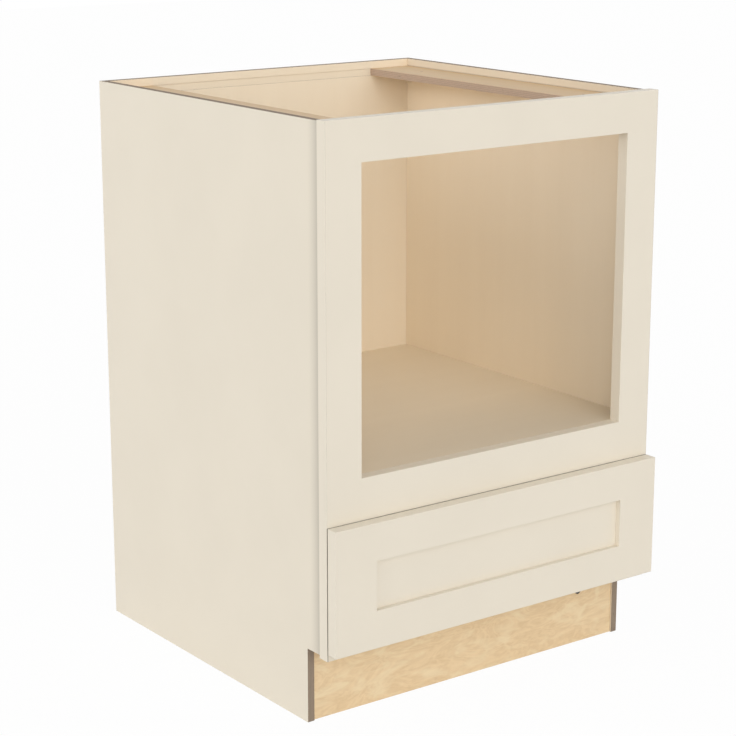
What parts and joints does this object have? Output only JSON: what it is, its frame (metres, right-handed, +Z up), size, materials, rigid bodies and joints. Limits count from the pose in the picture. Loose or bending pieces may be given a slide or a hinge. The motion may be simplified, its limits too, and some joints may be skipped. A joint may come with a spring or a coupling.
{
  "type": "microwave base cabinet",
  "caption": "Framed kitchen base cabinet: an open bay for a built-in microwave over a full-overlay recessed-panel drawer on full-extension slides, above a recessed toe board.",
  "frame": {"origin": "on the floor, under the middle of the closed cabinet's bounding box", "axes": "+Z up, +X to the right as seen from the front, +Y from the drawer front to the back"},
  "size_m": [0.6096, 0.6306, 0.8763],
  "materials": {
    "cream_paint": "satin cream paint over wood",
    "maple_ply": "clear-coated maple-faced plywood",
    "birch": "clear-coated solid birch",
    "zinc_steel": "zinc-plated sheet steel",
    "ball_steel": "polished",
    "black_steel": "black phosphate",
    "black_plastic": "moulded, matt",
    "black_rubber": "matt",
    "clear_rubber": "clear, soft"
  },
  "bodies": {
    "cabinet": {"left_side_panel": "cream_paint", "right_side_panel": "cream_paint", "back_panel": "maple_ply", "cabinet_floor": "maple_ply", "microwave_shelf": "maple_ply", "left_top_stretcher": "maple_ply", "right_top_stretcher": "maple_ply", "toe_board": "maple_ply", "toe_blocks": "birch", "toe_board_screws": "black_steel", "left_stile": "cream_paint", "right_stile": "cream_paint", "top_rail": "cream_paint", "middle_rail": "cream_paint", "bottom_rail": "cream_paint", "frame_brackets": "zinc_steel", "shelf_brackets": "zinc_steel", "floor_brackets": "zinc_steel", "bracket_screws": "zinc_steel", "back_panel_screws": "zinc_steel", "left_slide_support": "birch", "right_slide_support": "birch", "left_support_blocks": "birch", "right_support_blocks": "birch", "left_slide_outer": "zinc_steel", "right_slide_outer": "zinc_steel", "slide_stops": "black_rubber", "slide_support_screws": "zinc_steel"},
    "drawer": {"drawer_front_left_stile": "cream_paint", "drawer_front_right_stile": "cream_paint", "drawer_front_top_rail": "cream_paint", "drawer_front_bottom_rail": "cream_paint", "drawer_front_panel": "cream_paint", "drawer_front_screws": "zinc_steel", "drawer_bumpers": "clear_rubber", "drawer_box_left_side": "birch", "drawer_box_right_side": "birch", "drawer_box_front": "birch", "drawer_box_back": "birch", "drawer_box_bottom": "birch", "left_slide_inner": "zinc_steel", "right_slide_inner": "zinc_steel", "slide_release_levers": "black_plastic", "slide_drawer_screws": "zinc_steel"},
    "left_middle_member": {"left_slide_middle": "zinc_steel"},
    "left_outer_retainer": {"left_outer_retainer": "zinc_steel", "left_outer_balls": "ball_steel"},
    "left_inner_retainer": {"left_inner_retainer": "black_plastic", "left_inner_balls": "ball_steel"},
    "right_middle_member": {"right_slide_middle": "zinc_steel"},
    "right_outer_retainer": {"right_outer_retainer": "zinc_steel", "right_outer_balls": "ball_steel"},
    "right_inner_retainer": {"right_inner_retainer": "black_plastic", "right_inner_balls": "ball_steel"}
  },
  "joints": [
    {"name": "drawer_slide", "type": "slide", "parent": "cabinet", "child": "drawer", "axis": [0, -1, 0], "range_m": [0, 0.52]},
    {"name": "left_middle_member_slide", "type": "slide", "parent": "cabinet", "child": "left_middle_member", "axis": [0, -1, 0], "range_m": [0, 0.26]},
    {"name": "left_outer_retainer_slide", "type": "slide", "parent": "cabinet", "child": "left_outer_retainer", "axis": [0, -1, 0], "range_m": [0, 0.13]},
    {"name": "left_inner_retainer_slide", "type": "slide", "parent": "cabinet", "child": "left_inner_retainer", "axis": [0, -1, 0], "range_m": [0, 0.39]},
    {"name": "right_middle_member_slide", "type": "slide", "parent": "cabinet", "child": "right_middle_member", "axis": [0, -1, 0], "range_m": [0, 0.26]},
    {"name": "right_outer_retainer_slide", "type": "slide", "parent": "cabinet", "child": "right_outer_retainer", "axis": [0, -1, 0], "range_m": [0, 0.13]},
    {"name": "right_inner_retainer_slide", "type": "slide", "parent": "cabinet", "child": "right_inner_retainer", "axis": [0, -1, 0], "range_m": [0, 0.39]}
  ],
  "couplings": [
    {"joint": "left_middle_member_slide", "follows": "drawer_slide", "ratio": 0.5},
    {"joint": "left_outer_retainer_slide", "follows": "drawer_slide", "ratio": 0.25},
    {"joint": "left_inner_retainer_slide", "follows": "drawer_slide", "ratio": 0.75},
    {"joint": "right_middle_member_slide", "follows": "drawer_slide", "ratio": 0.5},
    {"joint": "right_outer_retainer_slide", "follows": "drawer_slide", "ratio": 0.25},
    {"joint": "right_inner_retainer_slide", "follows": "drawer_slide", "ratio": 0.75}
  ]
}
